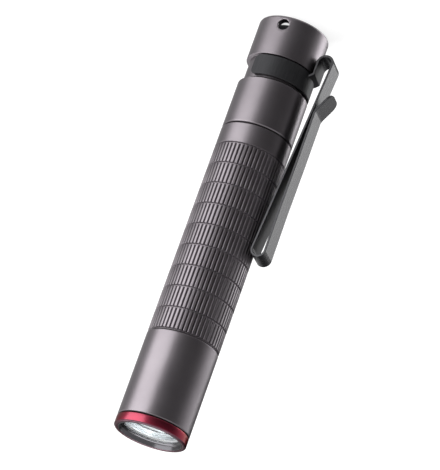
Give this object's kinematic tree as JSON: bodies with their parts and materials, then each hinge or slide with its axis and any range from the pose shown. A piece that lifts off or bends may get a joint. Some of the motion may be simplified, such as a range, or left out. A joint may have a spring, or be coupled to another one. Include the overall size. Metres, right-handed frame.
{
  "type": "pocket flashlight",
  "caption": "Slim pocket flashlight: fluted aluminium grip, plain head with red front ring, recessed tail switch in a screw cap, and a folded two-way clip on a swivelling band.",
  "frame": {"origin": "on the plane of the tail rim, under the middle of the whole outline with the clip; the turning axis of the body lies 2.76 mm from it towards -X", "axes": "+Z along the body from the tail to the lens, +X towards the clip, +Y towards the lanyard hole"},
  "size_m": [0.0194, 0.0138, 0.0849],
  "materials": {
    "gunmetal": "satin anodised",
    "red_anodised": "satin anodised",
    "dark_steel": "turned",
    "lens_glass": "polished",
    "black_rubber": "matte",
    "reflector_mirror": "smooth metallised",
    "board_white": "solder mask",
    "led_phosphor": "phosphor under a clear dome",
    "white_plastic": "moulded",
    "brass": "turned",
    "board_green": "solder mask",
    "black_plastic": "moulded",
    "cell_case": "printed wrap left plain",
    "spring_steel": "plated wire",
    "black_steel": "black coated spring steel"
  },
  "bodies": {
    "cap": {"tail_cap": "gunmetal", "boot_washer": "white_plastic", "switch_housing": "black_plastic", "switch_board": "board_green", "tail_spring": "spring_steel", "switch_retainer": "brass"},
    "button": {"switch_plunger": "black_plastic", "switch_boot": "black_rubber"},
    "clip": {"pocket_clip": "black_steel"},
    "cell": {"battery_cell": "cell_case"},
    "barrel": {"battery_tube": "gunmetal", "head_shell": "gunmetal", "accent_ring": "red_anodised", "lens_retainer": "dark_steel", "lens": "lens_glass", "lens_gasket": "black_rubber", "reflector": "reflector_mirror", "led_board": "board_white", "led_emitter": "led_phosphor", "led_gasket": "white_plastic", "driver_cup": "brass", "driver_board": "board_green", "driver_coil": "black_plastic", "positive_contact": "brass"}
  },
  "joints": [
    {"name": "screw_travel", "type": "slide", "parent": "cap", "child": "cell", "axis": [0, 0, 1], "range_m": [0, 0.0061]},
    {"name": "screw_turn", "type": "hinge", "parent": "cell", "child": "barrel", "pos_m": [-0.00276, 0, 0.019], "axis": [0, 0, 1], "range_deg": [0, 2160]},
    {"name": "button_press", "type": "slide", "parent": "cap", "child": "button", "axis": [0, 0, 1], "range_m": [0, 0.0012], "stiffness_N_per_m": 2500, "springref_m": -0.0004, "deforming": ["switch_boot"]},
    {"name": "clip_swivel", "type": "hinge", "parent": "cap", "child": "clip", "pos_m": [-0.00276, 0, 0.0108], "axis": [0, 0, 1], "continuous": true}
  ],
  "couplings": [
    {"joint": "screw_travel", "follows": "screw_turn", "m_per_rad": 0.00015915}
  ]
}
